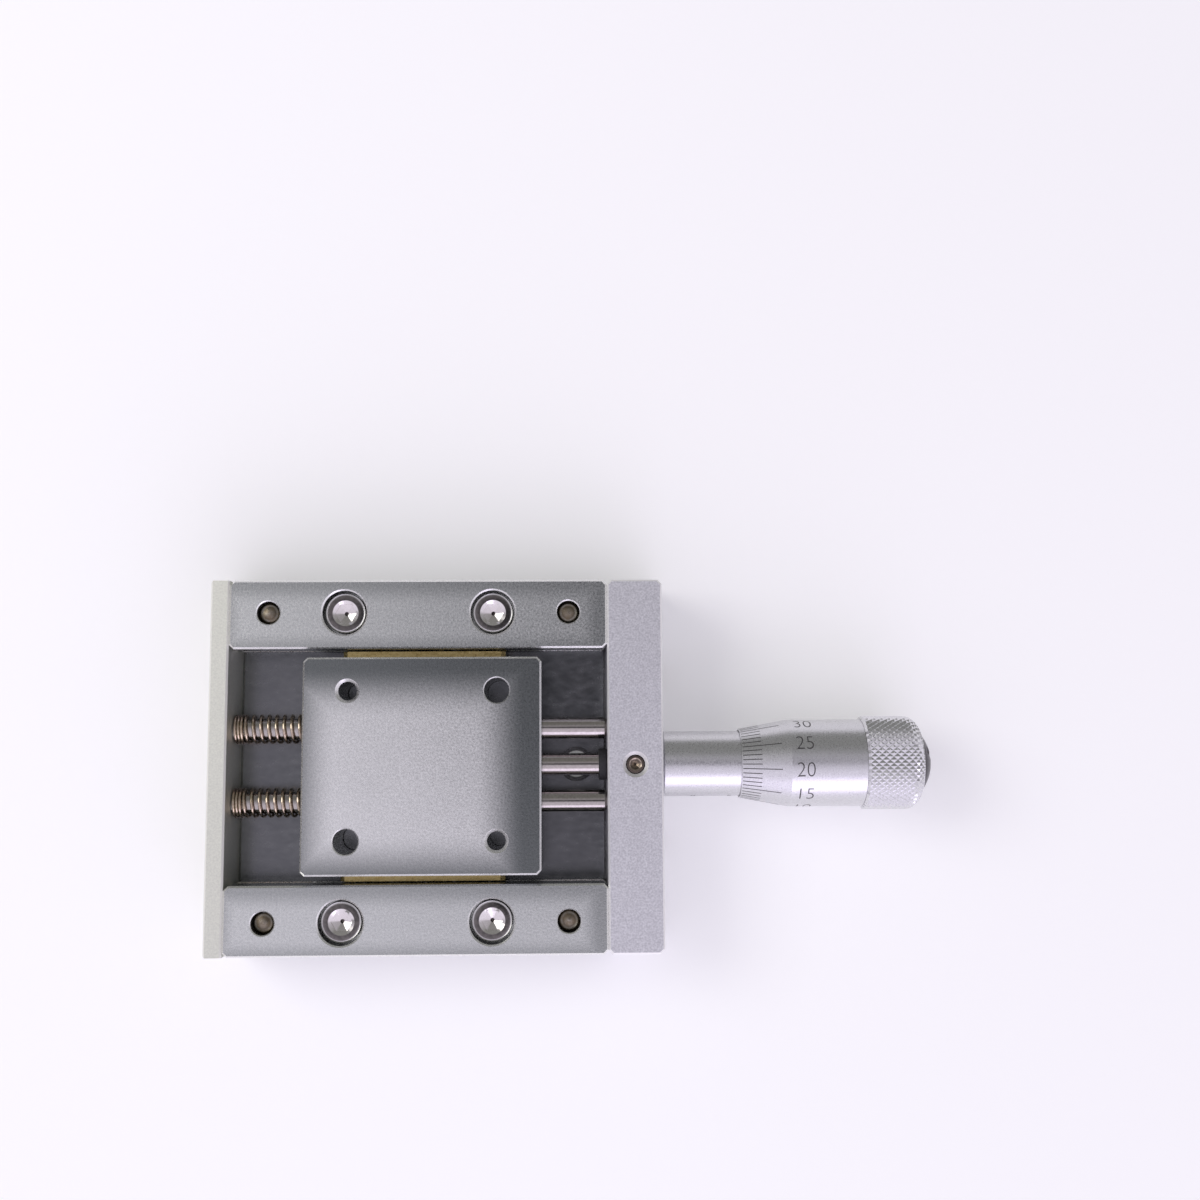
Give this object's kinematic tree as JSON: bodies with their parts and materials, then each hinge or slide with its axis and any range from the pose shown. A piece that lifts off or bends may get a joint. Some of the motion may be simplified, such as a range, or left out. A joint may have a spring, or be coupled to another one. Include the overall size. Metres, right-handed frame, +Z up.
{
  "type": "linear translation stage",
  "caption": "Compact manual translation stage: crossed roller carriage with square hole pattern, moved by a micrometer head against return springs.",
  "frame": {"origin": "centre of the base plate's underside", "axes": "+X along the travel, towards the micrometer head; +Z up, out of the carriage's top"},
  "size_m": [0.0982, 0.05, 0.0149],
  "materials": {
    "satin_nickel": "bead blasted, satin",
    "blasted_aluminium": "fine blasted, lighter than the rails",
    "graduation_ink": "black filled engraving",
    "ground_floor": "ground, darker satin",
    "polished_steel": "polished",
    "screw_steel": "bright turned",
    "spring_steel": "drawn wire, warm tint",
    "cage_brass": "rolled brass",
    "satin_chrome": "satin chrome with engraved black graduations",
    "black_oxide": "black oxide, semi gloss",
    "seal_rubber": "matt black"
  },
  "bodies": {
    "frame_body": {"base_plate": "ground_floor", "rail_front": "satin_nickel", "rail_rear": "satin_nickel", "end_plate": "blasted_aluminium", "micrometer_block": "blasted_aluminium", "guide_rod_front": "polished_steel", "guide_rod_rear": "polished_steel", "return_spring_front": "spring_steel", "return_spring_rear": "spring_steel", "rail_screws": "screw_steel", "base_screws": "screw_steel", "end_plate_screws": "screw_steel", "block_screws": "screw_steel", "clamp_screw": "black_oxide", "spindle_seal": "seal_rubber", "micrometer_sleeve": "satin_chrome", "adjusting_nut": "screw_steel"},
    "carriage_body": {"carriage": "satin_nickel", "anvil": "polished_steel"},
    "thimble_body": {"spindle": "polished_steel", "thimble": "satin_chrome", "grip": "satin_chrome", "thimble_cap": "black_oxide"},
    "cage_front_body": {"cage_front": "cage_brass", "rollers_front": "polished_steel"},
    "cage_rear_body": {"cage_rear": "cage_brass", "rollers_rear": "polished_steel"}
  },
  "joints": [
    {"name": "stage_travel", "type": "slide", "parent": "frame_body", "child": "carriage_body", "axis": [1, 0, 0], "range_m": [-0.0065, 0.0065], "deforming": ["return_spring_front", "return_spring_rear"]},
    {"name": "thimble_turn", "type": "hinge", "parent": "carriage_body", "child": "thimble_body", "pos_m": [0.05, 0, 0.0085], "axis": [1, 0, 0], "range_deg": [-4680.5, 4680.5]},
    {"name": "cage_front_travel", "type": "slide", "parent": "frame_body", "child": "cage_front_body", "axis": [1, 0, 0], "range_m": [-0.00325, 0.00325]},
    {"name": "cage_rear_travel", "type": "slide", "parent": "frame_body", "child": "cage_rear_body", "axis": [1, 0, 0], "range_m": [-0.00325, 0.00325]}
  ],
  "couplings": [
    {"joint": "thimble_turn", "follows": "stage_travel", "rad_per_m": 12566},
    {"joint": "cage_front_travel", "follows": "stage_travel", "ratio": 0.5},
    {"joint": "cage_rear_travel", "follows": "stage_travel", "ratio": 0.5}
  ]
}
